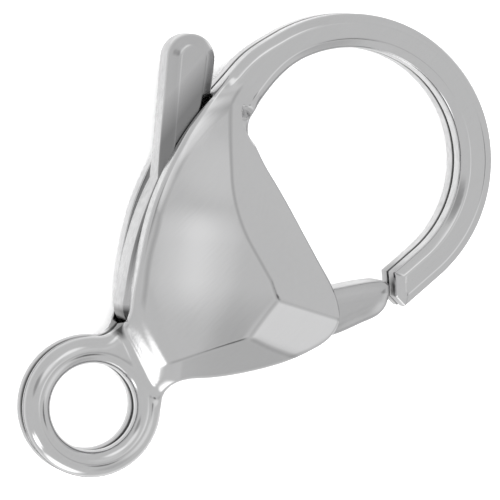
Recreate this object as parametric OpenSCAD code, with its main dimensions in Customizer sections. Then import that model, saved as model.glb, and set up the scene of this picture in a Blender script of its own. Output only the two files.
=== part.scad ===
// Lobster clasp in polished steel: two pressed half shells that hold a lever on a hidden pin.
// +X runs from the eye ring to the hook, +Y to the thumb tab's side and +Z out of the front shell.
// The origin is the centre of the eye ring, on the plane where the two shells meet. Millimetres.

/* [Eye ring] */
// Radius of the hole that a jump ring passes through
ring_hole_r = 1.2; // [1:0.01:1.5]
// Width of the ring's band, from its hole to its outside
ring_band = 0.75; // [0.5:0.01:0.9]
// Thickness of the whole ring, front to back
ring_depth = 1.44; // [1.1:0.02:1.8]
// Radius of the ring's rounded edges
ring_round = 0.22; // [0.05:0.01:0.24]

/* [Hook] */
// Distance along the clasp from the ring's centre to the hook's centre
hook_reach = 9.86; // [9.4:0.02:10.4]
// Distance of the hook's centre from the clasp's long axis, to the gate's side
hook_drop = 0.29; // [0.1:0.01:0.5]
// Inside radius of the hook
hook_r = 3.18; // [3:0.01:3.4]
// Width of the hook's bar
hook_bar = 0.95; // [0.8:0.01:1.1]
// Thickness of the whole hook, front to back
hook_depth = 1.56; // [1.2:0.02:1.8]
// Radius of the rounded edges of the hook's bar
hook_round = 0.24; // [0.05:0.01:0.3]
// Angle below the long axis at which the hook's arc runs out into its straight tip
tip_angle = 95; // [88:1:102]
// Gap between the hook's tip and the closed gate
mouth_gap = 0.13; // [0.08:0.01:0.3]

/* [Body] */
// Thickness of the whole body at its highest, front to back
body_depth = 3.7; // [3.5:0.05:4.2]
// Wall of a pressed shell
shell_wall = 0.48; // [0.4:0.01:0.52]
// Gap left between the two shells where they meet
seam = 0.04; // [0.02:0.01:0.1]
// Distance from the hook's centre to the body's straight edge
edge_away = 2.2; // [2:0.02:2.3]
// Lean of the straight edge from square across the clasp
edge_lean = 14.4; // [12:0.2:17]
// Radius of the body's corner beside the gate
corner_r = 0.8; // [0.6:0.02:1]
// Distance from the hook's centre down the straight edge to the middle of that corner
corner_drop = 3.1; // [2.9:0.02:3.2]
// Width of the neck between the ring and the body
neck_w = 2.15; // [1.8:0.05:2.4]
// Height of the shell's outer edge above the middle plane
rim_height = 1.2; // [1.15:0.01:1.4]

/* [Lever] */
// Thickness of the lever
lever_depth = 1.4; // [1:0.02:1.4]
// Gap between the lever's faces and the edges of the slot
lever_gap = 0.1; // [0.05:0.01:0.15]
// Radius of the lever's hub
hub_r = 1; // [0.8:0.02:1.05]
// Distance of the pivot from the cavity's end at the neck
pivot_in = 1.286; // [1.15:0.002:1.4]
// Distance from the pivot to the middle of the thumb pad
tab_reach = 6.88; // [6.7:0.02:7.2]
// Direction of the thumb pad, seen from the pivot
tab_angle = 37.3; // [37:0.1:39]
// Half of the thumb pad's width
pad_r = 0.63; // [0.5:0.01:0.7]
// Direction of the gate's inner edge below the long axis, seen from the pivot
gate_angle = 40.4; // [39.5:0.1:41]
// Width of the gate where it leaves the body
gate_w = 1.3; // [1:0.02:1.4]

/* [Pin] */
// Radius of the hidden pivot pin
pin_r = 0.38; // [0.3:0.01:0.42]
// Running clearance of the lever round the pin
pin_gap = 0.05; // [0.03:0.01:0.08]
// Depth of the pin's seat in each shell's wall
pin_seat = 0.1; // [0.05:0.01:0.12]

/* [Hidden] */
$fn = 64;
steel_light = [0.78, 0.78, 0.79];
steel_mid = [0.7, 0.7, 0.72];

ring_r = ring_hole_r + ring_band;
hook_out_r = hook_r + hook_bar;
hook_c = [hook_reach, -hook_drop];
half_seam = seam / 2;
half_slot = lever_depth / 2 + lever_gap;
top_z = body_depth / 2;
roof_z = top_z - shell_wall;
small = 0.02;
// How far a cut runs past the wall that it opens
spare = 0.3;
// How far the shell's bars are made past the seam, before the shell is cut level there
under = 0.2;

// Directions square to the straight edge, towards the eye, and along it
edge_n = [cos(edge_lean), -sin(edge_lean)];
edge_t = [sin(edge_lean), cos(edge_lean)];
edge_foot = hook_c - edge_away * edge_n;
corner_c = edge_foot - corner_drop * edge_t - corner_r * edge_n;
crotch = edge_foot + 0.49 * hook_out_r * edge_t;
neck_x = ring_r + 0.15 * neck_w / 2;
neck_top = [neck_x, neck_w / 2];
neck_foot = [neck_x, -neck_w / 2];
neck_in_x = ring_hole_r + 0.4 * ring_band;
// Where the body's left side and its eye side run into the hook's bar, the foot of the slope that
// rises from the bar, and the direction at which the bar ends inside the body
shoulder = on_circle(hook_c, hook_out_r, 100);
crotch_end = on_circle(hook_c, hook_r + 0.3 * hook_bar, 105);
root_mid = on_circle(hook_c, hook_r + hook_bar / 2, 98);
root_angle = 116;

// Bulge of each curved side, as a share of its chord
left_bulge = 0.098;
foot_bulge = 0.06;
corner_turn = 15;
left_r = arc_radius(neck_top, shoulder, left_bulge);
left_c = arc_centre(neck_top, shoulder, left_bulge);
foot_end = corner_c + corner_r * [sin(-corner_turn), -cos(corner_turn)];
foot_r = arc_radius(foot_end, neck_foot, foot_bulge);
foot_c = arc_centre(foot_end, neck_foot, foot_bulge);

// The hub's circle touches the body's left side from inside, and the tab's left side lies further in
left_in = left_r - lever_gap / 2;
hub_in = left_r - small - hub_r;
pivot_x = neck_in_x + shell_wall + pivot_in;
pivot = [pivot_x, left_c[1] + sqrt(pow(hub_in, 2) - pow(pivot_x - left_c[0], 2))];
tab_c = pivot + tab_reach * [cos(tab_angle), sin(tab_angle)];
gate_dir = [cos(gate_angle), -sin(gate_angle)];
gate_side = [-sin(gate_angle), -cos(gate_angle)];
tip_in = on_circle(hook_c, hook_r, -tip_angle) + 0.325 * hook_r * [-sin(tip_angle), cos(tip_angle)];
tip_cut_r = norm(tip_in - pivot);
gate_reach = tip_cut_r - mouth_gap;

function on_circle(c, r, a) = c + r * [cos(a), sin(a)];
function unit(v) = v / norm(v);
function arc_radius(a, b, share) = norm(b - a) * (0.25 + share * share) / (2 * share);
// Centre of the arc from a to b that bulges to the left of that way
function arc_centre(a, b, share) =
    let (chord = b - a, left = unit([-chord[1], chord[0]]))
    (a + b) / 2 + left * (share * norm(chord) - arc_radius(a, b, share));
function angle_of(v) = atan2(v[1], v[0]);
// Points on a circle from direction a to direction b, both ends included
function arc(c, r, a, b, count) = [for (i = [0 : count]) on_circle(c, r, a + (b - a) * i / count)];
function line(a, b, count) = [for (i = [0 : count - 1]) a + (b - a) * i / count];

// Outline of the body taken in by a wall, anticlockwise from the left side's start at the hook to
// the points that close it there
function outline(wall, start, hook_end) = concat(
    arc(left_c, left_r - wall, start, angle_of(neck_top - left_c), 14),
    [for (share = [0.4, 0, -0.4]) [neck_in_x + wall, share * (neck_w - 2 * wall)]],
    arc(foot_c, foot_r - wall, angle_of(neck_foot - foot_c), angle_of(foot_end - foot_c), 9),
    arc(corner_c, corner_r - wall, -90, -edge_lean, 4),
    line(corner_c + (corner_r - wall) * edge_n + 0.1 * corner_r * edge_t, hook_end[0], 8),
    hook_end
);
// Direction from the left side's centre to a place short of the shoulder by a share of the hook's size
function short_of_hook(share) = angle_of([shoulder[0] - share * hook_out_r, shoulder[1]] - left_c);
body_outline = outline(0, short_of_hook(0.05), [crotch, (crotch + crotch_end) / 2, crotch_end]);
hollow_start = short_of_hook(0.25);
hollow_top = edge_foot + 0.42 * hook_out_r * edge_t - shell_wall * edge_n;
hollow_outline = outline(shell_wall, hollow_start,
    [hollow_top, (hollow_top + on_circle(left_c, left_r - shell_wall, hollow_start)) / 2]);
body_middle = [(neck_x + edge_foot[0]) / 2, 0.1 * corner_drop];

// Faces of the body's front. Columns: distance in from the outside, height there, slope
function into_edge(p) = (hook_c - p) * edge_n - edge_away;
function into_left(p) = left_r - norm(p - left_c);
function into_foot(p) = foot_r - norm(p - foot_c);
corner_dir = unit([0.42, -0.907]);
function into_corner(p) = (corner_c - p) * corner_dir + corner_r;
root_dir = unit([0.76, 0.65]);
function from_root(p) = (root_mid - p) * root_dir;
function faces(p) = [
    [0, top_z, 0],
    [into_edge(p), rim_height, 0.52],
    [into_left(p), rim_height, 1],
    [into_left(p), rim_height + 0.22, 0.3],
    [into_foot(p), rim_height - 0.2, 0.75],
    [into_corner(p), rim_height - 0.1, 0.33],
    [from_root(p), 0.45 * hook_depth, 0.4],
    [p[0] - ring_r, ring_depth / 2 + 0.1, 1.1]
];
// Height of the body's front over a point, taken in by a wall measured square to each face
function front_z(p, wall) =
    min([for (f = faces(p)) f[1] + f[2] * f[0] - wall * sqrt(1 + f[2] * f[2])]);

// Solid under the front faces: rings of points run in from the outline by these steps to the middle
module dome(line, wall, base_z, steps) {
    count = len(line);
    base = [for (p = line) [p[0], p[1], base_z]];
    tops = [
        for (u = steps, p = line)
            let (q = p + (body_middle - p) * u)
            [q[0], q[1], max(front_z(q, wall), base_z + small)]
    ];
    peak = [body_middle[0], body_middle[1], front_z(body_middle, wall)];
    last = count * len(steps);
    sides = [
        for (ring = [0 : len(steps) - 1], i = [0 : count - 1], half = [0, 1])
            let (a = ring * count + i, b = ring * count + (i + 1) % count)
            half == 0 ? [a, a + count, b] : [b, a + count, b + count]
    ];
    cap = [for (i = [0 : count - 1]) [last + i, last + count, last + (i + 1) % count]];
    polyhedron(
        points = concat(base, tops, [peak]),
        faces = concat([[for (i = [0 : count - 1]) i]], sides, cap)
    );
}

// Half section of a bar that starts under the seam, with its two outer corners rounded
module half_bar(width, depth, round) {
    rise = depth / 2 + under;
    translate([0, -under]) {
        square([width, rise - round]);
        translate([round, 0]) square([width - 2 * round, rise]);
        for (x = [round, width - round]) translate([x, rise - round]) circle(round);
    }
}

module half_ring() {
    rotate_extrude() translate([ring_hole_r, 0]) half_bar(ring_band, ring_depth, ring_round);
}

module half_hook() {
    translate(hook_c) {
        rotate([0, 0, -tip_angle]) rotate_extrude(angle = tip_angle + root_angle)
            translate([hook_r, 0]) half_bar(hook_bar, hook_depth, hook_round);
    }
    difference() {
        translate(hook_c) rotate([0, 0, -tip_angle]) translate([hook_r, 0, 0]) rotate([90, 0, 0])
            linear_extrude(0.7 * hook_r) half_bar(hook_bar, hook_depth, hook_round);
        translate([pivot[0], pivot[1], -hook_depth]) cylinder(r = tip_cut_r, h = 2 * hook_depth, $fn = 180);
        translate([pivot[0], hook_c[1] - 2 * hook_out_r, -hook_depth])
            cube([tip_in[0] - 0.12 * hook_r - pivot[0], 2 * hook_out_r - hook_r, 2 * hook_depth]);
    }
}

// Space that the lever needs between the shells: along both open sides and round its hub
module lever_space() {
    near_neck = angle_of(neck_top - left_c) - 0.3;
    near_hook = short_of_hook(0.19);
    inward = (shell_wall + spare) * edge_n;
    edge_low = edge_foot - corner_drop * edge_t;
    edge_high = edge_foot + 0.46 * hook_out_r * edge_t;
    height = 4 * under + half_slot;
    translate([0, 0, -4 * under]) {
        linear_extrude(height) polygon(concat(
            arc(left_c, left_r + spare, near_hook, near_neck, 12),
            arc(left_c, left_r - shell_wall - spare, near_neck, near_hook, 12)
        ));
        linear_extrude(height)
            polygon([edge_low - inward, edge_low + spare * edge_n, edge_high + spare * edge_n, edge_high - inward]);
        linear_extrude(height) polygon([for (share = [[0.5, -0.1], [0.96, -0.1], [0.96, 1.12], [0.5, 1.12]])
            pivot + share[0] * gate_reach * gate_dir + share[1] * gate_w * gate_side]);
        translate(pivot) cylinder(r = hub_r + lever_gap, h = height);
    }
}

// The hollow inside a shell, which leaves a boss standing round the pin's seat
module hollow() {
    difference() {
        dome(hollow_outline, shell_wall, -3 * under, [0, 0.1, 0.25, 0.45, 0.7]);
        translate(pivot) cylinder(r = 1.3 * pin_r, h = roof_z + spare);
    }
}

module half_shell() {
    difference() {
        union() {
            dome(body_outline, 0, -2 * under, [0, 0.05, 0.11, 0.18, 0.26, 0.36, 0.47, 0.6, 0.78]);
            half_ring();
            half_hook();
        }
        hollow();
        lever_space();
        translate(pivot) cylinder(r = pin_r + small, h = roof_z + pin_seat + small);
        translate([-2 * ring_r, -2 * hook_out_r, -5 * under])
            cube([hook_reach + 4 * hook_out_r, 4 * hook_out_r, 5 * under + half_seam]);
    }
}

module front_shell() {
    color(steel_light) half_shell();
}

module back_shell() {
    color(steel_light) mirror([0, 0, 1]) half_shell();
}

// Outline of the thumb tab: along the body's left side, then straight out to the round pad
module tab_outline() {
    side = [-sin(tab_angle), cos(tab_angle)];
    leave = angle_of(pivot + 0.54 * (tab_c - pivot) + 1.3 * hub_r * side - left_c);
    polygon(concat(
        [pivot],
        arc(left_c, left_in, angle_of(pivot - left_c), leave, 9),
        arc(tab_c, pad_r, tab_angle + 92, tab_angle - 104, 14),
        [pivot + 0.45 * (tab_c - pivot) - 0.5 * hub_r * side, pivot - 0.8 * hub_r * side]
    ));
}

// Outline of the gate arm, ended by a circle round the pivot. Columns: share of the gate's
// reach, share of its width to the outer side
module gate_outline() {
    corners = [
        [0, -0.7], [0.36, -0.5], [0.62, 0], [1.1, 0], [1.02, 0.17], [0.995, 0.34],
        [0.967, 0.6], [0.88, 0.81], [0.73, 1.03], [0.5, 0.88], [0, 0.5]
    ];
    intersection() {
        polygon([for (c = corners) pivot + c[0] * gate_reach * gate_dir + c[1] * gate_w * gate_side]);
        translate(pivot) circle(gate_reach, $fn = 180);
    }
}

module lever() {
    color(steel_mid) translate([0, 0, -lever_depth / 2]) difference() {
        union() {
            translate(pivot) cylinder(r = hub_r, h = lever_depth);
            linear_extrude(lever_depth) tab_outline();
            linear_extrude(lever_depth) gate_outline();
        }
        translate([pivot[0], pivot[1], -small]) cylinder(r = pin_r + pin_gap, h = lever_depth + 2 * small);
    }
}

module pivot_pin() {
    half = roof_z + pin_seat;
    color(steel_mid) translate([pivot[0], pivot[1], -half]) cylinder(r = pin_r, h = 2 * half);
}

front_shell();
back_shell();
lever();
pivot_pin();
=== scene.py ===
"""Lobster clasp in polished steel: two pressed half shells, the lever between them and its pin.

+X runs from the eye ring to the hook, +Y to the thumb tab's side and +Z out of the front shell.
Plan points are complex numbers in millimetres, x + iy, and meshes are made in metres.
"""

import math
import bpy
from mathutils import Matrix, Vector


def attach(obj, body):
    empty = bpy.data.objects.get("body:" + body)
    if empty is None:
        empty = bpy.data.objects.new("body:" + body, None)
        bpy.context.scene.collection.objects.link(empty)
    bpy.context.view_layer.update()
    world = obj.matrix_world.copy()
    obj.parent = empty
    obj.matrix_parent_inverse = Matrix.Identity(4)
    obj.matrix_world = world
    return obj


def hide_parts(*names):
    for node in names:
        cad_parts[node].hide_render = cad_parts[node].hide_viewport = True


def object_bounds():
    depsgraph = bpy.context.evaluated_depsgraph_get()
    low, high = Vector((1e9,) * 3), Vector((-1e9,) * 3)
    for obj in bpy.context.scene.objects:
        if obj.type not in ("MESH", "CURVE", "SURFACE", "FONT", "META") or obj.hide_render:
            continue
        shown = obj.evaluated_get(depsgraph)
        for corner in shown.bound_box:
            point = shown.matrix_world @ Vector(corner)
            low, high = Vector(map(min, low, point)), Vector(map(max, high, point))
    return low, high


bl_info = {
    "name": "Lobster clasp",
    "version": (1, 0, 0),
    "blender": (4, 5, 0),
    "location": "3D View > Sidebar > Clasp",
    "description": "Builds the shells and lever of a lobster clasp, its steel finishes and a small studio",
    "category": "Add Mesh",
}

import bpy
import numpy as np
from bpy.props import FloatProperty, FloatVectorProperty, PointerProperty
from bpy.types import Operator, Panel, PropertyGroup
from mathutils import Matrix, Vector

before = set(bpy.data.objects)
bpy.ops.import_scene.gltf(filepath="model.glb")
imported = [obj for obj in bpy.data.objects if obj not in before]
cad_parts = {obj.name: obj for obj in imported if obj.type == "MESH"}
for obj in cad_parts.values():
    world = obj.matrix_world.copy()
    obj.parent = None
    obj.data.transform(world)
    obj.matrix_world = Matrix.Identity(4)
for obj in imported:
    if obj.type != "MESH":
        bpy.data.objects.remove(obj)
CAD_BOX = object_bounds()
METRE = 0.001


def length(name, description, millimetres):
    """A size held in metres, given here in millimetres."""
    return FloatProperty(name=name, description=description, default=millimetres * METRE,
                         min=0.0, unit="LENGTH", precision=6)


class ClaspSizes(PropertyGroup):
    hole_radius: length("Ring hole radius", "Radius of the hole in the eye ring", 1.2)
    ring_radius: length("Ring radius", "Outside radius of the eye ring", 1.95)
    ring_depth: length("Ring thickness", "Thickness of the whole ring, front to back", 1.44)
    hook_radius: length("Hook inside radius", "Radius of the inside of the hook", 3.18)
    hook_bar: length("Hook bar width", "Width of the hook's bar", 0.95)
    hook_depth: length("Hook thickness", "Thickness of the whole hook, front to back", 1.56)
    body_depth: length("Body thickness", "Thickness of the body at its highest, front to back", 3.7)
    wall: length("Shell wall", "Thickness of a pressed shell", 0.48)
    seam: length("Seam", "Gap between the two shells", 0.04)
    ring_shoulder: length("Ring shoulder", "Width of the ring's round shoulder outside", 0.42)
    ring_lip: length("Ring lip", "Width of the ring's round edge at its hole", 0.38)
    hook_bevel: length("Hook bevel", "Width of the bevels along the hook's bar", 0.24)
    body_round: length("Body edge rounding", "Radius of the body's outer edges", 0.1)
    seam_round: length("Seam rounding", "Radius of the edges beside the seam", 0.1)
    crease_round: length("Crease softness", "Height over which two faces of the body run together", 0.02)
    slot_depth: length("Slot height", "Half the height of the slot that the lever moves in", 0.8)
    lever_depth: length("Lever thickness", "Thickness of the lever, front to back", 1.4)
    lever_chamfer: length("Lever chamfer", "Width of the slanted band round the thumb tab", 0.3)
    hub_radius: length("Hub radius", "Radius of the lever's hub", 1.0)
    bore_radius: length("Bore radius", "Radius of the lever's bore round its pin", 0.43)
    pad_radius: length("Pad radius", "Half the width of the thumb pad", 0.68)


class ClaspFinish(PropertyGroup):
    shell_colour: FloatVectorProperty(
        name="Shell steel", description="Colour of the polished shells", subtype="COLOR",
        size=3, min=0.0, max=1.0, default=(0.76, 0.76, 0.765))
    lever_colour: FloatVectorProperty(
        name="Lever steel", description="Colour of the tumbled lever", subtype="COLOR",
        size=3, min=0.0, max=1.0, default=(0.68, 0.68, 0.685))
    pin_colour: FloatVectorProperty(
        name="Pin steel", description="Colour of the turned pin", subtype="COLOR",
        size=3, min=0.0, max=1.0, default=(0.66, 0.66, 0.67))
    floor_colour: FloatVectorProperty(
        name="Floor", description="Colour of the studio's floor", subtype="COLOR",
        size=3, min=0.0, max=1.0, default=(0.95, 0.95, 0.95))
    shine: FloatProperty(
        name="Polish", description="Roughness of the polished shells", default=0.11,
        min=0.02, max=1.0, subtype="FACTOR")


class ClaspStudio(PropertyGroup):
    aim_x: length("Aim along", "Place that the camera looks at, along the clasp", 6.228)
    aim_y: FloatProperty(name="Aim across", description="Place that the camera looks at, across the clasp",
                         default=-0.000211, unit="LENGTH", precision=6)
    distance: length("Camera distance", "Distance from the camera to the place it looks at", 130.0)
    tilt: FloatProperty(name="Camera tilt", description="Angle of the view from straight down",
                        default=math.radians(16.1), subtype="ANGLE")
    side: FloatProperty(name="Camera side", description="Direction that the camera stands in, from +X",
                        default=math.radians(122.7), subtype="ANGLE")
    roll: FloatProperty(name="Camera roll", description="Turn of the clasp's long axis in the picture",
                        default=math.radians(44.87), subtype="ANGLE")
    lens: FloatProperty(name="Lens", description="Focal length of the camera in millimetres",
                        default=337.8, min=50.0)
    key: FloatProperty(name="Overhead light", description="Strength of the light that whitens the floor",
                       default=5.0, min=0.0, unit="POWER")
    sky: FloatProperty(name="Sky", description="Strength of the soft light all round", default=1.0,
                       min=0.0)


# Places in the plan: the ring's eye, the hook's eye, the centre of its bar, its tip, and its cut end

EYE = complex(0.0, 0.0)
HOOK = complex(9.86, -0.29)
BOW = complex(9.87, -0.39)
TIP = complex(8.42, -3.74)
TIP_TURN = 95.0
TIP_CUT = 6.802
TIP_END = 8.172
SPINE_END = 8.62

# The lever: its pivot, the gate's direction and length, and the tab's

PIVOT = complex(3.266, 0.7319)
GATE_TURN = complex(0.7615, -0.6481)
GATE_REACH = 6.672
GATE_WIDTH = 1.3
TAB_ANGLE = 37.3
TAB_REACH = 6.8
TAB = PIVOT + TAB_REACH * np.exp(1j * np.radians(TAB_ANGLE))

# The body's rims: the left and the foot's arc, the straight edge beside the hook's eye, the corner

LEFT_CENTRE = complex(8.9414, -6.1982)
LEFT_RADIUS = 9.9775
FOOT_CENTRE = complex(8.652, 5.739)
FOOT_RADIUS = 9.4452
EDGE_FOOT = complex(7.729, 0.257)
EDGE_TURN = complex(0.9686, -0.2487)
EDGE_GAP = 2.2
CORNER = complex(6.183, -2.547)
CORNER_TURN = complex(0.42, -0.907)
CORNER_REACH = 0.8

# Places that the outline passes between the ring, which it leaves at an angle, and the hook's bar: on
# the foot's side, on the left, and the line down the middle

MEET = 40.0
FOOT_PLACES = (1.9 - 1.05j, 2.24 - 1.16j, 2.66 - 1.52j, 3.54 - 2.22j, 4.56 - 2.85j, 5.42 - 3.22j,
               5.98 - 3.345j, 6.42 - 3.24j, 6.76 - 2.92j, 7.02 - 2.4j, 7.22 - 1.65j, 7.54 - 0.46j,
               7.88 + 0.86j, 8.03 + 1.5j, 8.13 + 1.8j, 8.25 + 2.08j, 8.46 + 2.35j, 8.83 + 2.57j,
               9.3 + 2.66j, 9.8 + 2.72j)
LEFT_PLACES = (1.9 + 1.05j, 2.36 + 1.14j, 2.78 + 1.47j, 3.47 + 2.0j, 4.16 + 2.47j, 5.02 + 2.96j,
               5.86 + 3.3j, 6.9 + 3.59j, 7.8 + 3.73j, 8.5 + 3.77j, 9.2 + 3.81j, 9.8 + 3.83j)
SPINE_PLACES = (2.2 + 0j, 3.4 + 0.05j, 4.6 + 0.15j, 5.6 + 0.55j, 6.6 + 1.4j, 7.6 + 2.45j, 8.5 + 3.17j)

# The body's faces: where each starts or falls away, its direction, its height at the rim, its slope,
# and how fast it falls

ROOT = complex(9.351, 3.329)
ROOT_TURN = complex(0.76, 0.65)
ROOT_REACH = 4.5
ROOT_FALL = 1.15
RIDGE = complex(6.2, 0.3)
RIDGE_TURN = complex(0.766, 0.643)
RIDGE_REACH = 1.2
RIDGE_FALL = 0.045
RIDGE_END_FALL = 0.025
MAIN_TOP = 1.85
MAIN_SLOPE = 0.1
EDGE_RIM = 1.15
EDGE_SLOPE = 0.43
EDGE_LEVEL = 1.5
EDGE_ROOT_FALL = 0.062
EDGE_FOOT_FALL = 0.08
LEFT_RIM = 1.38
LEFT_SLOPE = 0.55
LEFT_LEVEL = 4.9
LEFT_ROOT_FALL = 0.0515
LEFT_RING_FALL = 0.06
FOOT_RIM = 1.24
FOOT_SLOPE = 0.57
CORNER_CREASE = complex(5.37, -1.33)
CORNER_RISE = complex(-0.014, 0.39)
NECK = complex(1.9, -0.2)
NECK_TURN = complex(0.953, -0.303)
NECK_HEIGHT = 1.05
NECK_SLOPE = 1.3
NECK_FALL = 0.06
FACE_SLOPES = (MAIN_SLOPE, EDGE_SLOPE, LEFT_SLOPE, FOOT_SLOPE, CORNER_RISE.imag, NECK_SLOPE)
FACE_SOFTNESS = (1.0, 1.0, 1.5, 4.0, 20.0)
BAR_BLEND = 0.22

# Heights of the ring's oval edges outside, at its hole and at the seam, and the width of the last

SHOULDER_DROP = 0.38
LIP_DROP = 0.28
GROOVE_DROP = 0.3
GROOVE_WIDTH = 0.32

# The notch below the crotch: a circle cut off by a line, and the height of its floor

NOTCH = complex(9.546, 1.888)
NOTCH_RADIUS = 1.42
NOTCH_LIMIT = complex(8.69, 3.02)
NOTCH_TURN = complex(0.837, 0.547)
NOTCH_FLOOR = 0.6

# The inside: ends of the hollow and of the slot's openings, and the pin's seat

HOLLOW_START = 1.5
TONGUE = complex(8.35, 2.9)
LEFT_OPENING = (93.3, 132.9)
EDGE_OPENING = (-3.1, 1.9)
GATE_OPENING = (-0.13, 1.46)
GATE_SPAN = (0.5, 0.96)
SLOT_END = complex(2.25, 1.03)
BOSS_RADIUS = 0.5
BOSS_HEIGHT = 0.8
PIN_RADIUS = 0.41
PIN_TOP = 1.475
THINNEST = 0.04


# Curves in the plan



def unit(angle):
    """Unit vector at an angle in degrees."""
    return np.exp(1j * np.radians(angle))


def bearing_of(way):
    """Angle of a plan vector in degrees."""
    return np.degrees(np.angle(way))


def circle(centre, radius, start, end, count):
    """Arc: centre + radius times the unit vector at an angle that runs evenly from start to end degrees."""
    return centre + radius * unit(np.linspace(start, end, count))


def travelled(line):
    """Length along a line up to each of its points: the running sum of the steps between them."""
    return np.concatenate([[0.0], np.cumsum(np.abs(np.diff(line)))])


def evenly(line, count):
    """The same line with its points spaced evenly along its length."""
    along = travelled(line)
    return np.interp(np.linspace(0.0, along[-1], count), along, line)


def straight(start, end, count):
    """Straight line with its points spaced evenly."""
    return evenly(np.array([start, end]), count)


def spline(points, start_way, end_way, count):
    """Cubic spline through the points, by the lengths of its chords, with the given directions at its
    ends: its second derivatives solve one linear system, and each span is the cubic that they give."""
    points = np.asarray(points, dtype=complex)
    knot = travelled(points)
    step = np.diff(knot)
    slope = np.diff(points) / step
    last = len(points) - 1
    system = np.zeros((last + 1, last + 1))
    inner = np.arange(1, last)
    system[inner, inner - 1] = step[:-1]
    system[inner, inner] = 2.0 * (step[:-1] + step[1:])
    system[inner, inner + 1] = step[1:]
    system[0, :2] = (2.0 * step[0], step[0])
    system[last, last - 1:] = (step[-1], 2.0 * step[-1])
    right = 6.0 * np.concatenate([[slope[0] - start_way], np.diff(slope), [end_way - slope[-1]]])
    bend = np.linalg.solve(system, right)
    at = np.linspace(0.0, knot[-1], 12 * count)
    span = np.clip(np.searchsorted(knot, at, side="right") - 1, 0, last - 1)
    before = at - knot[span]
    after = knot[span + 1] - at
    h = step[span]
    curve = (bend[span] * after ** 3 + bend[span + 1] * before ** 3) / (6.0 * h)
    curve = curve + (points[span] / h - bend[span] * h / 6.0) * after
    curve = curve + (points[span + 1] / h - bend[span + 1] * h / 6.0) * before
    return evenly(curve, count)


def join(*lines):
    """One line from several, without the repeated point where one starts at the last one's end."""
    return np.concatenate([lines[0]] + [line[1:] for line in lines[1:]])


def dot(a, b):
    """Scalar product of plan vectors."""
    return (np.conj(a) * b).real


def distance_to(points, loops):
    """Distance from each point to the nearest segment of the closed loops, worked out in blocks: the
    point's place along a segment is held between its ends, and the gap to there is measured."""
    start = np.concatenate(loops)
    way = np.concatenate([np.roll(loop, -1) - loop for loop in loops])
    square = np.maximum(np.abs(way) ** 2, 1e-12)
    blocks = []
    for block in np.array_split(points, 1 + points.size // 600):
        offset = block[:, None] - start[None, :]
        share = np.clip(dot(way[None, :], offset) / square, 0.0, 1.0)
        blocks.append(np.abs(offset - share * way[None, :]).min(axis=1))
    return np.concatenate(blocks)


def rolled(distance, radius):
    """Drop of a rounded edge: radius less the height of a quarter circle, within the radius of the edge."""
    inside = np.clip(radius - distance, 0.0, radius)
    return radius - np.sqrt(np.maximum(radius ** 2 - inside ** 2, 0.0))


def lower_of(a, b, soft):
    """Smooth minimum: the lower value, less a quarter of soft times the square of how far they meet."""
    meet = np.clip(1.0 - np.abs(a - b) / soft, 0.0, 1.0)
    return np.minimum(a, b) - 0.25 * soft * meet ** 2


def higher_of(a, b, soft):
    """Smooth maximum, the smooth minimum turned over."""
    return -lower_of(-a, -b, soft)


def ease(value, low, high):
    """Smooth step from 0 to 1 between two values: 3 s squared less 2 s cubed."""
    share = np.clip((value - low) / (high - low), 0.0, 1.0)
    return share * share * (3.0 - 2.0 * share)


# Grids that run in from an outline


def run_in(outline, target, rolls, to_hole, rows):
    """Grid of rows from an outline to the matching points of a target line. The first rows follow a
    rounded edge, at the radius times one less the cosine of even steps; the rest are even up to a
    middle line, or closer and closer, as a sine, up to the rim of a hole."""
    edge_rows = 8
    reach = np.abs(target - outline)[:, None]
    radius = np.minimum(rolls[:, None], 0.45 * reach)
    turn = np.linspace(0.0, 0.5 * np.pi, edge_rows + 1)[None, :]
    share = np.linspace(0.0, 1.0, rows - edge_rows)[None, 1:]
    hole = to_hole[:, None]
    spread = (1.0 - hole) * share + hole * np.sin(0.5 * np.pi * share)
    inward = np.concatenate([radius * (1.0 - np.cos(turn)), radius + (reach - radius) * spread], axis=1)
    return outline[:, None] + (target - outline)[:, None] * inward / np.maximum(reach, 1e-9)


def grid_faces(columns, rows, first, flip):
    """Quads of a grid that is closed along its columns, counted from the first vertex."""
    column = np.arange(columns)[:, None]
    row = np.arange(rows - 1)[None, :]
    after = (column + 1) % columns
    quads = np.stack([column * rows + row, after * rows + row,
                      after * rows + row + 1, column * rows + row + 1], axis=-1).reshape(-1, 4) + first
    return quads[:, ::-1] if flip else quads


def solid_between(grid, top, bottom, flip):
    """Closed solid over a plan grid: one sheet at the top heights, one at the bottom heights, and
    walls along the outline and the inner end of the grid."""
    columns, rows = grid.shape
    count = columns * rows
    plan = np.stack([grid.real, grid.imag], axis=-1).reshape(-1, 2)
    upper = np.column_stack([plan, top.reshape(-1)])
    lower = np.column_stack([plan, bottom.reshape(-1)])
    column = np.arange(columns)
    after = (column + 1) % columns
    outer = np.stack([column * rows, column * rows + count,
                      after * rows + count, after * rows], axis=-1)
    inner = np.stack([after * rows, after * rows + count,
                      column * rows + count, column * rows], axis=-1) + rows - 1
    faces = [grid_faces(columns, rows, 0, False), grid_faces(columns, rows, count, True)]
    walls = np.concatenate([outer, inner])
    faces = np.concatenate(faces + [walls])
    return np.concatenate([upper, lower]), faces[:, ::-1] if flip else faces


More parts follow.
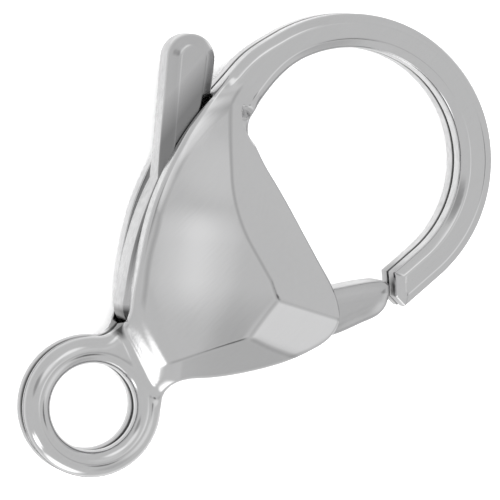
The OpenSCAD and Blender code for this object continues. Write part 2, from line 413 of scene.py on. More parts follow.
def add_mesh(name, vertices, faces, material, crisp):
    """Mesh object from arrays in millimetres: vertices that meet are merged, faces that the merge
    closes up are dropped, and edges sharper than the given angle stay crisp."""
    key = np.round(vertices / 2e-6).astype(np.int64)
    _, first, inverse = np.unique(key, axis=0, return_index=True, return_inverse=True)
    merged = vertices[first] * METRE
    faces = inverse.reshape(-1)[faces]
    same = faces == np.roll(faces, -1, axis=1)
    opposite = (faces[:, 0] == faces[:, 2]) | (faces[:, 1] == faces[:, 3])
    kinds = same.sum(axis=1)
    quads = faces[(kinds == 0) & ~opposite]
    odd = faces[(kinds == 1) & ~opposite]
    keep = ~same[(kinds == 1) & ~opposite]
    triangles = odd[keep].reshape(-1, 3)
    order = np.concatenate([quads.reshape(-1), triangles.reshape(-1)]).astype(np.int32)
    starts = np.concatenate([4 * np.arange(len(quads)),
                             4 * len(quads) + 3 * np.arange(len(triangles))]).astype(np.int32)
    mesh = bpy.data.meshes.new(name)
    mesh.vertices.add(len(merged))
    mesh.vertices.foreach_set("co", merged.reshape(-1))
    mesh.loops.add(len(order))
    mesh.loops.foreach_set("vertex_index", order)
    mesh.polygons.add(len(starts))
    mesh.polygons.foreach_set("loop_start", starts)
    mesh.update(calc_edges=True)
    mesh.validate()
    mesh.polygons.foreach_set("use_smooth", np.ones(len(mesh.polygons), dtype=bool))
    mesh.set_sharp_from_angle(angle=math.radians(crisp))
    mesh.materials.append(material)
    piece = bpy.data.objects.new(name, mesh)
    bpy.context.scene.collection.objects.link(piece)
    return piece


# The shells


def outer_lines(ring, inside, outside):
    """The outline's three parts. The first runs from the ring's far end along the foot, the corner,
    the straight edge and the hook's inside, the second from there along the left side and the hook's
    outside, and the third is the cut end between them."""
    foot = spline([ring * unit(-MEET), *FOOT_PLACES, BOW + inside * unit(70)],
                  unit(90 - MEET), unit(-20), 350)
    left = spline([ring * unit(MEET), *LEFT_PLACES, BOW + outside * unit(75)],
                  unit(MEET - 90), unit(-15), 250)
    back = -1j * unit(-TIP_TURN)
    inner_start = BOW + inside * unit(-TIP_TURN)
    outer_start = BOW + outside * unit(-TIP_TURN)
    reach = np.linspace(0.0, 3.0, 3001)
    inner_end = inner_start + back * reach[np.abs(inner_start + back * reach - PIVOT) > TIP_CUT][-1]
    outer_end = outer_start + back * (outer_start.real - TIP_END) / -back.real
    cut_turn = bearing_of(inner_end - PIVOT)
    cut = circle(PIVOT, TIP_CUT, cut_turn, cut_turn - 6.0, 60)
    cut = cut[cut.real > TIP_END]
    end_cap = evenly(np.concatenate([[inner_end], cut[1:], [outer_end]]), 25)
    right_chain = join(circle(0, ring, 180, 360 - MEET, 70), foot, circle(BOW, inside, 70, -TIP_TURN, 100),
                       straight(inner_start, inner_end, 16))
    left_chain = join(circle(0, ring, 180, MEET, 70), left, circle(BOW, outside, 75, -TIP_TURN, 120),
                      straight(outer_start, outer_end, 18))
    return right_chain, left_chain, end_cap


def spine_line(hole, middle):
    """Line down the middle of the body and the hook's bar, from the ring's hole to the tip."""
    body = spline([complex(hole, 0), *SPINE_PLACES, BOW + middle * unit(92)], 1.0, unit(2), 400)
    bar_end = BOW + middle * unit(-TIP_TURN)
    tip = bar_end - 1j * unit(-TIP_TURN) * np.linspace(0.0, bar_end.real - SPINE_END, 30)
    return join(body, circle(BOW, middle, 92, -TIP_TURN, 200), tip)


def shell_lines(sizes):
    """Outline of a shell, the target line inside it, and how far each column belongs to the hook, to
    the ring, and to the ring's hole at its inner end. The outline runs anticlockwise from the ring's
    far end, along the foot, the corner, the straight edge, the hook's inside, its tip, its outside
    and the left side."""
    hole = sizes.hole_radius / METRE
    ring = sizes.ring_radius / METRE
    inside = sizes.hook_radius / METRE
    outside = inside + sizes.hook_bar / METRE
    middle = 0.5 * (inside + outside)
    right_chain, left_chain, end_cap = outer_lines(ring, inside, outside)
    spine = spine_line(hole, middle)
    right_inner = join(circle(0, hole, 180, 360, 120), spine)
    left_inner = join(circle(0, hole, 180, 0, 120), spine)
    right_pairs = [(ring * unit(-MEET), hole * unit(-MEET)),
                   (2.0 - 1.07j, complex(hole, 0)), (3.0 - 1.8j, 2.7 + 0j), (5.4 - 3.2j, 4.6 + 0.15j),
                   (6.76 - 2.92j, 5.1 + 0.3j), (7.54 - 0.46j, 6.3 + 1.1j), (8.13 + 1.8j, 7.6 + 2.45j),
                   (8.7 + 2.4j, 8.4 + 3.1j), (9.3 + 2.66j, 9.2 + 3.24j),
                   (BOW + inside * unit(70), BOW + middle * unit(70))]
    left_pairs = [(ring * unit(MEET), hole * unit(MEET)),
                  (2.0 + 1.05j, complex(hole, 0)), (2.9 + 1.56j, 2.7 + 0j), (4.16 + 2.47j, 4.6 + 0.15j),
                  (6.0 + 3.33j, 6.3 + 1.1j), (7.6 + 3.74j, 7.9 + 2.7j), (8.4 + 3.85j, 8.7 + 3.3j),
                  (9.4 + 3.82j, BOW + middle * unit(99))]
    right_target = matched(right_chain, right_inner, right_pairs)
    left_target = matched(left_chain, left_inner, left_pairs)
    end_target = np.full(len(end_cap) - 2, spine[-1])
    outline = np.concatenate([right_chain, end_cap[1:-1], left_chain[:0:-1]])
    target = np.concatenate([right_target, end_target, left_target[:0:-1]])
    to_hole = 1.0 - ease(np.abs(target), hole + 0.05, hole + 0.5)
    hooked = np.maximum(ease(outline.real, 8.6, 9.3) * ease(outline.imag, -3.0, -2.0),
                        ease(outline.real, 7.3, 7.6) * (outline.imag < -2.0))
    ringed = 1.0 - ease(outline.real, 1.2, 2.3)
    return outline, target, hooked, ringed, to_hole


def matched(chain, inner, pairs):
    """Target of each outline point: lengths along the chain are mapped to lengths along the inner
    line, straight between the given pairs of matching places, and read off the inner line."""
    chain_along = travelled(chain)
    inner_along = travelled(inner)
    outer_at = [0.0] + [chain_along[np.abs(chain - a).argmin()] for a, b in pairs] + [chain_along[-1]]
    inner_at = [0.0] + [inner_along[np.abs(inner - b).argmin()] for a, b in pairs] + [inner_along[-1]]
    return np.interp(np.interp(chain_along, outer_at, inner_at), inner_along, inner)


def along_way(x, y, origin, way):
    """How far a place lies from an origin along a unit vector, for arrays or for wires."""
    return way.real * (x - origin.real) + way.imag * (y - origin.imag)


def away_from(x, y, centre, root):
    """Distance of a place from a centre, for arrays or for wires, whose square root is given."""
    across = x - centre.real
    up = y - centre.imag
    return root(across * across + up * up)


def front_faces(x, y, over, root):
    """Heights of the body's pressed faces at x and y in millimetres, for arrays or for wires, whose
    maximum and square root are given. The main face is level at the ridge. It falls away as the square
    of the distance left of it and, as parabolas, towards the hook's root and the neck. The other faces
    rise evenly from their rims: beside the straight edge, inside the left bevel's arc, inside the
    foot's arc and at the corner. The edge's and the left rim sink to the root. The neck rises from the
    ring, and falls to both sides as the square of the distance."""
    towards_root = over(1.0 + along_way(x, y, ROOT, ROOT_TURN) * (1.0 / ROOT_REACH), 0.0)
    across = over(along_way(x, y, RIDGE, 1j * RIDGE_TURN), 0.0)
    to_neck = over(-RIDGE_REACH - along_way(x, y, RIDGE, RIDGE_TURN), 0.0)
    main = MAIN_TOP - ROOT_FALL * towards_root * towards_root
    main = main - RIDGE_FALL * across * across - RIDGE_END_FALL * to_neck * to_neck
    edge = along_way(x, y, HOOK, -EDGE_TURN) - EDGE_GAP
    along = along_way(x, y, EDGE_FOOT, 1j * EDGE_TURN)
    upper = over(along - EDGE_LEVEL, 0.0)
    edge_face = EDGE_RIM + EDGE_SLOPE * edge - EDGE_ROOT_FALL * upper * upper
    edge_face = edge_face - EDGE_FOOT_FALL * over(-EDGE_LEVEL - along, 0.0)
    left = LEFT_RADIUS - away_from(x, y, LEFT_CENTRE, root)
    rising = over(x - LEFT_LEVEL, 0.0)
    left_face = LEFT_RIM + LEFT_SLOPE * left - LEFT_ROOT_FALL * rising * rising
    left_face = left_face - LEFT_RING_FALL * over(LEFT_LEVEL - x, 0.0)
    foot_face = FOOT_RIM + FOOT_SLOPE * (FOOT_RADIUS - away_from(x, y, FOOT_CENTRE, root))
    corner_face = MAIN_TOP + along_way(x, y, CORNER_CREASE, CORNER_RISE)
    askew = along_way(x, y, NECK, 1j * NECK_TURN)
    neck = NECK_HEIGHT + NECK_SLOPE * along_way(x, y, NECK, NECK_TURN) - NECK_FALL * askew * askew
    return main, edge_face, left_face, foot_face, corner_face, neck


def body_swell(sizes):
    """How much thicker the body is than the faces make it."""
    return 0.5 * sizes.body_depth / METRE / MAIN_TOP


def oval_edge(distance, width, height):
    """Drop of an oval shoulder: height less the height of a quarter ellipse, within its width."""
    inside = 1.0 - np.clip(distance / width, 0.0, 1.0)
    return height * (1.0 - np.sqrt(np.maximum(1.0 - inside ** 2, 0.0)))


def bevelled(distance, width):
    """Drop of a bevel with a small rounded edge: an even slope within its width, run smoothly out."""
    return higher_of(0.75 * (width - distance), 0.0, 0.04) + rolled(distance, 0.06)


def shell_top(plan, faces, edge_distance, hole_distance, hooked, ringed, sizes):
    """Heights of a shell's outer side: the smooth minimum of the body's faces, joined to the bars of
    the hook and the domed ring by a smooth maximum, less the edge's drop. That is an oval on the ring,
    a bevel on the hook and a small round on the body. A circle below the crotch is notched down."""
    thicker = (sizes.hook_depth - sizes.ring_depth) * ease(plan.real, 3.0, 6.0)
    bar = 0.5 * (sizes.ring_depth + thicker) / METRE
    bar = bar - 0.3 * np.clip(np.abs(plan) - 1.5, -0.4, 0.6) ** 2 * (1.0 - ease(plan.real, 2.5, 3.5))
    body = faces[0]
    for height, soft in zip(faces[1:], FACE_SOFTNESS):
        body = lower_of(body, height, soft * sizes.crease_round / METRE)
    ring_drop = oval_edge(edge_distance, sizes.ring_shoulder / METRE, SHOULDER_DROP)
    hook_drop = bevelled(edge_distance, sizes.hook_bevel / METRE)
    body_drop = rolled(edge_distance, sizes.body_round / METRE)
    drop = body_drop + hooked * (hook_drop - body_drop) + ringed * (ring_drop - body_drop)
    lip = oval_edge(hole_distance, sizes.ring_lip / METRE, LIP_DROP)
    top = higher_of(bar, body, BAR_BLEND) - drop - lip
    along_edge = dot(plan - EDGE_FOOT, 1j * EDGE_TURN)
    notch = ease(NOTCH_RADIUS - np.abs(plan - NOTCH), 0.0, 0.08) * ease(along_edge, 1.75, 2.1)
    notch = notch * ease(dot(NOTCH_LIMIT - plan, NOTCH_TURN), -0.08, 0.36)
    return top + notch * (NOTCH_FLOOR - rolled(edge_distance, 0.1) - top)


def hollow_depth(plan, wall):
    """Distance from the wall inside the hollow, less than nothing outside it: the least distance from
    the body's rims, from the ring and from the tongue at the hook's root."""
    edge = dot(HOOK - plan, EDGE_TURN) - EDGE_GAP
    left = LEFT_RADIUS - np.abs(plan - LEFT_CENTRE)
    foot = FOOT_RADIUS - np.abs(plan - FOOT_CENTRE)
    corner = dot(CORNER - plan, CORNER_TURN) + CORNER_REACH
    inside = np.min([edge, left, foot, corner, plan.real - HOLLOW_START], axis=0) - wall
    return np.minimum(inside, dot(TONGUE - plan, ROOT_TURN))


def slot_depth_inside(plan, wall, hub):
    """Distance inside the slot's openings, less than nothing where the shells meet: the greatest of
    those through the left wall, through the straight edge, along the gate and round the hub."""
    edge = dot(HOOK - plan, EDGE_TURN) - EDGE_GAP
    along_edge = dot(plan - EDGE_FOOT, 1j * EDGE_TURN)
    left = LEFT_RADIUS - np.abs(plan - LEFT_CENTRE)
    bearing = bearing_of(plan - LEFT_CENTRE)
    turned = np.minimum(bearing - LEFT_OPENING[0], LEFT_OPENING[1] - bearing)
    along_left = turned * math.radians(LEFT_RADIUS)
    open_left = np.min([wall + 0.3 - left, left + 0.3, along_left], axis=0)
    open_edge = np.min([wall + 0.3 - edge, edge + 0.3, along_edge - EDGE_OPENING[0],
                        EDGE_OPENING[1] - along_edge], axis=0)
    out = dot(plan - PIVOT, GATE_TURN)
    aside = dot(plan - PIVOT, -1j * GATE_TURN)
    open_gate = np.min([out - GATE_SPAN[0] * GATE_REACH, GATE_SPAN[1] * GATE_REACH - out,
                        aside - GATE_OPENING[0], GATE_OPENING[1] - aside], axis=0)
    open_hub = hub + 0.1 - np.abs(plan - PIVOT)
    return np.max([open_left, open_edge, open_gate, open_hub], axis=0)


def shell_bottom(plan, faces, edge_distance, hole_distance, ringed, sizes):
    """Heights of a shell's inner side: level at the seam, with a small round at its edges and an oval
    on the ring, raised to the slot where the lever moves and to the hollow's roof inside."""
    wall = sizes.wall / METRE
    roof = np.min([height - wall * math.sqrt(1.0 + slope ** 2)
                   for height, slope in zip(faces, FACE_SLOPES)], axis=0)
    seat = np.abs(plan - PIVOT)
    roof = np.where(seat < BOSS_RADIUS, BOSS_HEIGHT, roof)
    roof = np.where(seat < PIN_RADIUS, PIN_TOP, roof)
    slot = sizes.slot_depth / METRE
    level = 0.5 * sizes.seam / METRE
    shut = 1.0 - ease(slot_depth_inside(plan, wall, sizes.hub_radius / METRE), -0.05, 0.05)
    rim = np.minimum(edge_distance, hole_distance)
    under = rolled(rim, 0.03 + (sizes.seam_round / METRE - 0.03) * shut)
    groove = oval_edge(rim, GROOVE_WIDTH, GROOVE_DROP)
    base = slot + (level - slot) * shut + under + ringed * (groove - under)
    return np.maximum(base, roof * ease(hollow_depth(plan, wall), -0.03, 0.03))


def build_shell(name, back, sizes, material):
    """One half shell, the back one being the front one turned over in the middle plane."""
    outline, target, hooked, ringed, to_hole = shell_lines(sizes)
    widths = (sizes.body_round + (sizes.hook_bevel - sizes.body_round) * hooked
              + (sizes.ring_shoulder - sizes.body_round) * ringed) / METRE
    grid = run_in(outline, target, widths, to_hole, 46)
    edge_distance = distance_to(grid.reshape(-1), [outline]).reshape(grid.shape)
    hole_distance = np.maximum(np.abs(grid) - sizes.hole_radius / METRE, 0.0)
    faces = [body_swell(sizes) * face for face in front_faces(grid.real, grid.imag, np.maximum, np.sqrt)]
    top = shell_top(grid, faces, edge_distance, hole_distance, hooked[:, None], ringed[:, None], sizes)
    bottom = shell_bottom(grid, faces, edge_distance, hole_distance, ringed[:, None], sizes)
    top = np.maximum(top, bottom + THINNEST)
    side = -1.0 if back else 1.0
    vertices, faces = solid_between(grid, side * top, side * bottom, back)
    piece = add_mesh(name, vertices, faces, material, 50.0)
    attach(piece, "body")
    return piece


# The lever


def lever_lines(sizes):
    """Outline of the lever, anticlockwise from the tip of its thumb pad down the left side, round the
    hub, along the gate and back up the tab's right side, with its target line."""
    pad = sizes.pad_radius / METRE
    hub = sizes.hub_radius / METRE
    bore = sizes.bore_radius / METRE
    side = 1j * unit(TAB_ANGLE)
    gate_out = -1j * GATE_TURN
    inset = LEFT_RADIUS - 0.05
    leave = bearing_of(PIVOT + 0.54 * (TAB - PIVOT) + 1.3 * hub * side - LEFT_CENTRE)
    hub_left = bearing_of(PIVOT - LEFT_CENTRE)
    pad_left = circle(TAB, pad, TAB_ANGLE, TAB_ANGLE + 92, 60)
    arm = circle(LEFT_CENTRE, inset, leave, hub_left - 2, 90)
    shank = straight(pad_left[-1], arm[0], 70)
    hub_arc = circle(PIVOT, hub, hub_left + 4, 222, 50)

    def gate_at(share, out):
        """Place at a share of the gate's reach and at a share of its width."""
        return PIVOT + share * GATE_REACH * GATE_TURN + out * GATE_WIDTH * gate_out

    low = spline([hub_arc[-1], gate_at(0.3, 0.76), gate_at(0.5, 0.92), gate_at(0.73, 1.03),
                  gate_at(0.88, 0.8), gate_at(0.956, 0.63), gate_at(0.986, 0.42)],
                 1j * (hub_arc[-1] - PIVOT) / hub, gate_out * -0.8 + GATE_TURN * 0.2, 120)
    end = circle(PIVOT, GATE_REACH, bearing_of(gate_at(1.0, 0.24) - PIVOT),
                 bearing_of(gate_at(1.0, 0.05) - PIVOT), 20)
    inner = spline([end[-1], gate_at(0.982, -0.03), gate_at(0.95, -0.06), gate_at(0.87, -0.04),
                    gate_at(0.62, 0.0), gate_at(0.36, -0.45), gate_at(0.17, -0.62)],
                   -GATE_TURN - 0.6 * gate_out, -GATE_TURN - 0.3 * gate_out, 80)
    pad_right = circle(TAB, pad, TAB_ANGLE - 92, TAB_ANGLE, 60)
    up = spline([inner[-1], PIVOT + 0.16 * (TAB - PIVOT) - 0.75 * hub * side,
                 PIVOT + 0.45 * (TAB - PIVOT) - 0.58 * side, PIVOT + 0.76 * (TAB - PIVOT) - 0.7 * side,
                 pad_right[0]],
                unit(TAB_ANGLE + 20), unit(TAB_ANGLE + 2), 110)
    left_chain = join(pad_left, shank, np.concatenate([[shank[-1]], arm[1:], hub_arc]), low)
    right_chain = join(pad_right[::-1], up[::-1], inner[::-1], end[::-1])
    gate_end = gate_at(0.9, 0.33)
    tab_line = straight(TAB, PIVOT + bore * unit(TAB_ANGLE), 80)
    gate_line = spline([PIVOT + bore * GATE_TURN, gate_at(0.3, 0.1), gate_at(0.6, 0.38), gate_end],
                       GATE_TURN, GATE_TURN, 80)
    gate_bearing = bearing_of(GATE_TURN)
    left_inner = join(tab_line, circle(PIVOT, bore, TAB_ANGLE, 360 + gate_bearing, 60), gate_line)
    right_inner = join(tab_line, circle(PIVOT, bore, TAB_ANGLE, gate_bearing, 30), gate_line)
    left_pairs = [(pad_left[-1], TAB), (arm[0], PIVOT + 0.58 * (TAB - PIVOT)),
                  (arm[70], tab_line[-1]), (hub_arc[10], PIVOT - bore),
                  (hub_arc[-1], PIVOT + bore * GATE_TURN), (low[-25], gate_end)]
    right_pairs = [(pad_right[0], TAB), (up[16], tab_line[-1]), (inner[-18], PIVOT + bore * GATE_TURN),
                   (inner[6], gate_end)]
    left_target = matched(left_chain, left_inner, left_pairs)
    right_target = matched(right_chain, right_inner, right_pairs)
    outline = np.concatenate([left_chain, right_chain[::-1][:-1]])
    target = np.concatenate([left_target, right_target[::-1][:-1]])
    return outline, target


def build_lever(sizes, material):
    """The lever: level faces, lowered along the outline by a slanted band and a rounded edge."""
    outline, target = lever_lines(sizes)
    chamfer = sizes.lever_chamfer / METRE
    grid = run_in(outline, target, np.full(len(outline), chamfer + 0.08), np.zeros(len(outline)), 30)
    distance = distance_to(grid.reshape(-1), [outline]).reshape(grid.shape)
    thumb = ease(dot(grid - PIVOT, TAB - PIVOT) / abs(TAB - PIVOT), 2.6, 4.2)
    slant = higher_of((0.35 + 0.5 * thumb) * (chamfer - distance), 0.0, 0.05)
    height = 0.5 * sizes.lever_depth / METRE - slant - rolled(distance, 0.1)
    vertices, faces = solid_between(grid, height, -height, False)
    piece = add_mesh("lever_steel_arm", vertices, faces, material, 60.0)
    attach(piece, "lever")
    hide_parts("lever")
    return piece


# Materials


class Wire:
    """A node's output that is worked with as a number: each operation adds its Math node."""

    def __init__(self, paint, socket):
        self.paint = paint
        self.socket = socket

    def __add__(self, other):
        return self.paint.maths("ADD", self, other)

    def __sub__(self, other):
        return self.paint.maths("SUBTRACT", self, other)

    def __mul__(self, other):
        return self.paint.maths("MULTIPLY", self, other)

    def __radd__(self, other):
        return self.paint.maths("ADD", other, self)

    def __rsub__(self, other):
        return self.paint.maths("SUBTRACT", other, self)

    def __rmul__(self, other):
        return self.paint.maths("MULTIPLY", other, self)

    def __abs__(self):
        return self.paint.maths("ABSOLUTE", self)


class Nodes:
    """A node tree whose nodes are made one at a time, by type, settings and inputs."""

    def __init__(self, tree):
        self.tree = tree

    def node(self, kind, settings=None, inputs=None, output=0):
        made = self.tree.nodes.new(kind)
        for setting, value in (settings or {}).items():
            if setting == "stops":
                ramp = made.color_ramp
                while len(ramp.elements) < len(value):
                    ramp.elements.new(0.5)
                for element, (place, colour) in zip(ramp.elements, value):
                    element.position = place
                    element.color = (*colour, 1.0)
            else:
                setattr(made, setting, value)
        for key, value in (inputs or {}).items():
            self.feed(made.inputs[key], value)
        return Wire(self, made.outputs[output])

    def feed(self, socket, value):
        if isinstance(value, Wire):
            self.tree.links.new(value.socket, socket)
        else:
            socket.default_value = value

    def maths(self, operation, *values):
        return self.node("ShaderNodeMath", {"operation": operation}, dict(enumerate(values)))

    def place(self):
        return self.node("ShaderNodeTexCoord", output="Object")

    def facing(self):
        return self.node("ShaderNodeTexCoord", output="Normal")

    def stretched(self, scale, turn=0.0):
        return self.node("ShaderNodeMapping", None, {
            "Vector": self.place(), "Scale": scale, "Rotation": (0.0, 0.0, math.radians(turn))})

    def noise(self, vector, scale, detail=3.0):
        return self.node("ShaderNodeTexNoise", {"normalize": True},
                         {"Vector": vector, "Scale": scale, "Detail": detail}, "Fac")

    def between(self, share, low, high):
        return self.node("ShaderNodeMapRange", {"clamp": True}, {
            "Value": share, "From Min": low[0], "From Max": high[0], "To Min": low[1], "To Max": high[1]})

    def higher(self, a, b):
        return self.maths("MAXIMUM", a, b)

    def lower(self, a, b):
        return self.maths("MINIMUM", a, b)

    def root(self, a):
        return self.maths("SQRT", a)

    def parts(self, vector):
        split = self.node("ShaderNodeSeparateXYZ", None, {0: vector})
        return [Wire(self, split.socket.node.outputs[axis]) for axis in "XYZ"]

    def mixed(self, share, first, second):
        return self.node("ShaderNodeMix", {"data_type": "RGBA"}, {0: share, 6: first, 7: second}, 2)

    def tint(self, share, dark, light):
        return self.mixed(share, (*dark, 1.0), (*light, 1.0))

    def darkened(self, share, under, colour, tone):
        return self.mixed(share, under, (*shade(colour, tone), 1.0))

    def away(self, place, centre):
        return away_from(place[0], place[1], centre, self.root)


class Finish(Nodes):
    """A new material, painted on its own shader."""

    def __init__(self, name):
        self.material = bpy.data.materials.new(name)
        self.material.use_nodes = True
        super().__init__(self.material.node_tree)
        self.shader = self.tree.nodes["Principled BSDF"]


def shade(colour, share):
    """The colour times a number, with no part over one."""
    return tuple(min(1.0, part * share) for part in colour)


def crease_lines(paint, place):
    """Share by which a point lies on a crease of the body: the gap between its two lowest faces runs
    from nothing to a small height, near the height of the surface itself."""
    x, y, z = place
    height = abs(z) * (1.0 / body_swell(bpy.context.scene.clasp_sizes))
    faces = front_faces(x, y, paint.higher, paint.root)[:-1]
    lowest = paint.lower(faces[0], faces[1])
    second = paint.higher(faces[0], faces[1])
    for face in faces[2:]:
        second = paint.lower(second, paint.higher(lowest, face))
        lowest = paint.lower(lowest, face)
    on_surface = paint.between(abs(height - lowest), (0.05, 1.0), (0.12, 0.0))
    return on_surface * paint.between(second - lowest, (0.006, 1.0), (0.03, 0.0))


def steel_finish(name, colour, roughness, grain, halved, dark):
    """Steel: soft clouds and fine streaks in its roughness, shallow polishing marks in its bump, and
    a coarse grain on the upright walls, which the tumbling left unpolished. The colour is lowered on
    the walls. Painted shade darkens it by the share halved in the seam and in the ring's groove, a
    painted shadow darkens the slot's far end, painted shade darkens the walls at the hook's tip, and
    dark gives a share of painted shade for a place in millimetres."""
    paint = Finish(name)
    clouds = paint.noise(paint.place(), 420.0, 4.0)
    streaks = paint.noise(paint.stretched((1.0, 9.0, 9.0), 35.0), 1500.0, 2.0)
    specks = paint.noise(paint.place(), 5200.0, 3.0)
    pits = paint.node("ShaderNodeTexVoronoi", {"feature": "F1"},
                      {"Vector": paint.place(), "Scale": 3800.0}, "Distance")
    upright = paint.parts(paint.facing())[2]
    wall = paint.between(abs(upright), (0.15, 1.0), (0.35, 0.0))
    rough_places = paint.between(clouds, (0.4, 0.6), (0.6, 1.0))
    grainy = wall * rough_places
    place = [part * 1000.0 for part in paint.parts(paint.place())]
    tone = 0.6 * clouds + 0.4 * streaks
    polished = paint.tint(tone, shade(colour, 0.95), shade(colour, 1.05))
    speckled = paint.tint(specks, shade(colour, 0.6), shade(colour, 1.15))
    worn = paint.mixed(wall * (0.45 + 0.5 * rough_places), polished, speckled)
    height = abs(place[2])
    # Painted shade: the colour darkens in the seam between the shells and in the ring's groove.
    seam = paint.between(height, (0.06, halved), (0.11, 0.0))
    on_ring = paint.between(paint.away(place, EYE), (2.0, 1.0), (2.3, 0.0))
    groove = paint.between(height, (0.13, halved), (0.19, 0.0)) * on_ring
    shaded = paint.darkened(paint.higher(seam, groove), worn, colour, 0.12)
    # Painted shade from dark: lines on the shells' creases, the lever near the body's side, the pin's ends.
    shaded = paint.darkened((1.0 - wall) * dark(paint, place), shaded, colour, 0.3)
    # Painted shadow in the far end of the slot.
    slot_shadow = paint.between(paint.away(place, SLOT_END), (0.3, 0.9), (0.5, 0.0))
    slot_shadow = slot_shadow * paint.between(height, (0.66, 1.0), (0.74, 0.0))
    shaded = paint.darkened(slot_shadow, shaded, colour, 0.05)
    # Painted shade on the walls at the hook's tip.
    tip_shade = wall * paint.between(paint.away(place, TIP), (0.45, 0.6), (0.75, 0.0))
    shaded = paint.darkened(tip_shade, shaded, colour, 0.3)
    paint.feed(paint.shader.inputs["Base Color"], shaded)
    paint.feed(paint.shader.inputs["Metallic"], 1.0)
    rough = roughness + 0.1 * (clouds - 0.5) + 0.06 * (streaks - 0.5) + grain * 0.22 * grainy
    paint.feed(paint.shader.inputs["Roughness"], rough)
    relief = 0.06 * streaks + 0.05 * clouds + grain * (0.8 * specks + 0.5 * pits) * grainy
    bump = paint.node("ShaderNodeBump", None, {"Height": relief, "Strength": 0.35, "Distance": 0.00003})
    paint.feed(paint.shader.inputs["Normal"], bump)
    return paint.material


def shell_crease_shade(paint, place):
    """Painted shade on the shells: thin dark lines on the creases."""
    return 0.3 * crease_lines(paint, place)


def lever_painted_shade(paint, place):
    """Painted shade on the lever: it grows towards the body's left side, next to the body."""
    outside = paint.away(place, LEFT_CENTRE) - LEFT_RADIUS
    near = paint.between(outside, (0.3, 0.75), (0.93, 0.0))
    return near * paint.between(place[1], (1.6, 0.0), (2.4, 1.0))


def pin_end_shade(paint, place):
    """Painted shade on the pin: darker at its ends, under the shells."""
    return paint.between(abs(place[2]), (0.7, 0.0), (1.4, 0.5))


def floor_finish(colour):
    """Matt paper: hardly any tone, in faint fibres."""
    paint = Finish("studio_paper")
    fibre = paint.noise(paint.place(), 900.0, 4.0)
    paint.feed(paint.shader.inputs["Base Color"], paint.tint(fibre, shade(colour, 0.995), colour))
    paint.feed(paint.shader.inputs["Roughness"], 0.9)
    return paint.material


# Operators


class CLASP_OT_shells(Operator):
    """Build the front and back shells as pressed steel halves with rounded edges"""
    bl_idname = "clasp.shells"
    bl_label = "Shells"

    def execute(self, context):
        sizes = context.scene.clasp_sizes
        finish = context.scene.clasp_finish
        steel = steel_finish("polished_shell_steel", tuple(finish.shell_colour), finish.shine, 1.0,
                             0.95, shell_crease_shade)
        front = build_shell("pressed_front_shell", False, sizes, steel)
        back = build_shell("pressed_back_shell", True, sizes, steel)
        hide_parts("front_shell")
        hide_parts("back_shell")
        return {"FINISHED"}


class CLASP_OT_lever(Operator):
    """Build the lever with its thumb tab, hub and gate"""
    bl_idname = "clasp.lever"
    bl_label = "Lever"

    def execute(self, context):
        finish = context.scene.clasp_finish
        steel = steel_finish("tumbled_lever_steel", tuple(finish.lever_colour), 0.2, 0.5,
                             0.0, lever_painted_shade)
        build_lever(context.scene.clasp_sizes, steel)
        return {"FINISHED"}


class CLASP_OT_pin(Operator):
    """Give the pivot pin its turned steel"""
    bl_idname = "clasp.pin"
    bl_label = "Pin"

    def execute(self, context):
        finish = context.scene.clasp_finish
        steel = steel_finish("turned_pin_steel", tuple(finish.pin_colour), 0.3, 0.4, 0.0, pin_end_shade)
        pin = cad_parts["pivot_pin"]
        if not pin.material_slots:
            pin.data.materials.append(steel)
        for slot in pin.material_slots:
            slot.material = steel
        return {"FINISHED"}


class CLASP_OT_studio(Operator):
    """Lay the floor, hang the lights and set the camera"""
    bl_idname = "clasp.studio"
    bl_label = "Studio"

    def execute(self, context):
        studio = context.scene.clasp_studio
        lay_floor(context.scene.clasp_finish)
        light_studio(studio)
        set_camera(studio)
        return {"FINISHED"}


def lay_floor(finish):
    """A wide level sheet under the clasp."""
    low = CAD_BOX[0][2]
    half = 0.6
    mesh = bpy.data.meshes.new("studio_floor")
    corners = [(-half, -half, low), (half, -half, low), (half, half, low), (-half, half, low)]
    mesh.from_pydata(corners, [], [(0, 1, 2, 3)])
    mesh.materials.append(floor_finish(tuple(finish.floor_colour)))
    floor = bpy.data.objects.new("studio_floor", mesh)
    bpy.context.scene.collection.objects.link(floor)
    floor.visible_glossy = False


# The sky's patches: bearing, rise and spread in degrees, and the light that each adds

SKY_LEVEL = 0.62
SKY_PATCHES = (
    (88.0, 50.0, 18.0, 0.3),
    (56.0, 46.0, 16.0, 0.42),
    (30.0, 66.0, 14.0, 0.08),
    (-30.0, 87.0, 11.0, 0.14),
    (117.0, 85.5, 11.0, 0.14),
    (-72.0, 36.0, 22.0, 0.2),
    (-104.0, 20.0, 20.0, -0.1),
    (-150.0, -8.0, 24.0, 1.2),
    (177.0, -3.0, 12.0, 1.4),
    (176.0, 13.0, 11.0, 1.1),
    (-96.0, 71.0, 11.0, -0.13),
    (-105.0, 52.0, 10.0, -0.45),
    (-49.0, 44.0, 10.0, -0.45),
    (112.0, 31.0, 16.0, -0.28),
    (-18.0, -22.0, 16.0, 0.45),
)


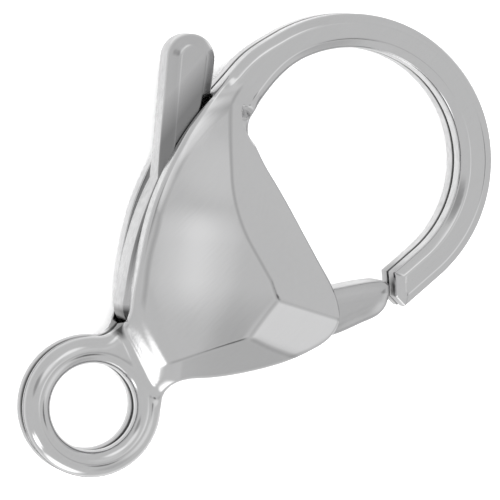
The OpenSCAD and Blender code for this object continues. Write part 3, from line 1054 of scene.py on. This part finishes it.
def light_studio(studio):
    """A pale sky with lighter and darker patches round the clasp, and a wide light overhead that
    lights the floor without standing in the steel's reflections."""
    world = bpy.data.worlds.new("studio_sky")
    world.use_nodes = True
    bpy.context.scene.world = world
    sky = Nodes(world.node_tree)
    ray = sky.node("ShaderNodeTexCoord", output="Generated")
    below = sky.between(sky.parts(ray)[2], (-1.0, 0.5), (-0.3, 0.0))
    level = SKY_LEVEL + 0.06 * (sky.noise(ray, 2.2, 2.0) - 0.5) + below
    for bearing, rise, spread, lift in SKY_PATCHES:
        flat = math.cos(math.radians(rise))
        way = (math.cos(math.radians(bearing)) * flat, math.sin(math.radians(bearing)) * flat,
               math.sin(math.radians(rise)))
        near = sky.node("ShaderNodeVectorMath", {"operation": "DOT_PRODUCT"}, {0: ray, 1: way}, "Value")
        level = level + sky.node("ShaderNodeMapRange", {"interpolation_type": "SMOOTHSTEP"}, {
            "Value": near, "From Min": math.cos(math.radians(spread)), "From Max": 1.0, "To Max": lift})
    ground = world.node_tree.nodes["Background"]
    sky.feed(ground.inputs["Strength"], studio.sky * level)
    ground.inputs["Color"].default_value = (1.0, 1.0, 1.0, 1.0)
    light = bpy.data.lights.new("overhead", "AREA")
    light.shape = "DISK"
    light.size = 0.5
    light.energy = studio.key
    overhead = bpy.data.objects.new("overhead", light)
    overhead.location = (0.0062, -0.0002, 0.4)
    overhead.visible_glossy = False
    bpy.context.scene.collection.objects.link(overhead)
    bpy.context.scene.view_settings.view_transform = "Standard"


def set_camera(studio):
    """Camera on a sphere round the place that it looks at. Its axes are those of a view from straight
    above, with the clasp turned by the roll, leaned over by the tilt towards its side."""
    data = bpy.data.cameras.new("photo_camera")
    data.lens = studio.lens
    data.sensor_width = 36.0
    data.clip_start = 0.01
    data.clip_end = 5.0
    camera = bpy.data.objects.new("photo_camera", data)
    lean = Matrix.Rotation(studio.tilt, 3, Vector((-math.sin(studio.side), math.cos(studio.side), 0.0)))
    turn = Matrix.Rotation(-studio.roll, 3, "Z")
    axes = lean @ turn
    away = axes @ Vector((0.0, 0.0, 1.0))
    camera.location = Vector((studio.aim_x, studio.aim_y, 0.0)) + studio.distance * away
    camera.rotation_euler = axes.to_euler()
    bpy.context.scene.collection.objects.link(camera)
    bpy.context.scene.camera = camera


class CLASP_PT_panel(Panel):
    """Lists the clasp's pieces and sizes"""
    bl_idname = "CLASP_PT_panel"
    bl_label = "Lobster clasp"
    bl_space_type = "VIEW_3D"
    bl_region_type = "UI"
    bl_category = "Clasp"

    def draw(self, context):
        layout = self.layout
        for operator in PIECES:
            layout.operator(operator.bl_idname)
        for group in (context.scene.clasp_sizes, context.scene.clasp_finish, context.scene.clasp_studio):
            box = layout.box()
            for name in group.__annotations__:
                box.prop(group, name)


PIECES = (CLASP_OT_shells, CLASP_OT_lever, CLASP_OT_pin, CLASP_OT_studio)
GROUPS = {"clasp_sizes": ClaspSizes, "clasp_finish": ClaspFinish, "clasp_studio": ClaspStudio}


def register():
    for kind in (*GROUPS.values(), *PIECES, CLASP_PT_panel):
        bpy.utils.register_class(kind)
    for name, kind in GROUPS.items():
        setattr(bpy.types.Scene, name, PointerProperty(type=kind))


def unregister():
    for name in GROUPS:
        delattr(bpy.types.Scene, name)
    for kind in reversed((*GROUPS.values(), *PIECES, CLASP_PT_panel)):
        bpy.utils.unregister_class(kind)


def main():
    register()
    bpy.ops.clasp.shells()
    bpy.ops.clasp.lever()
    bpy.ops.clasp.pin()
    bpy.ops.clasp.studio()
    bpy.context.view_layer.update()


if __name__ == "__main__":
    main()
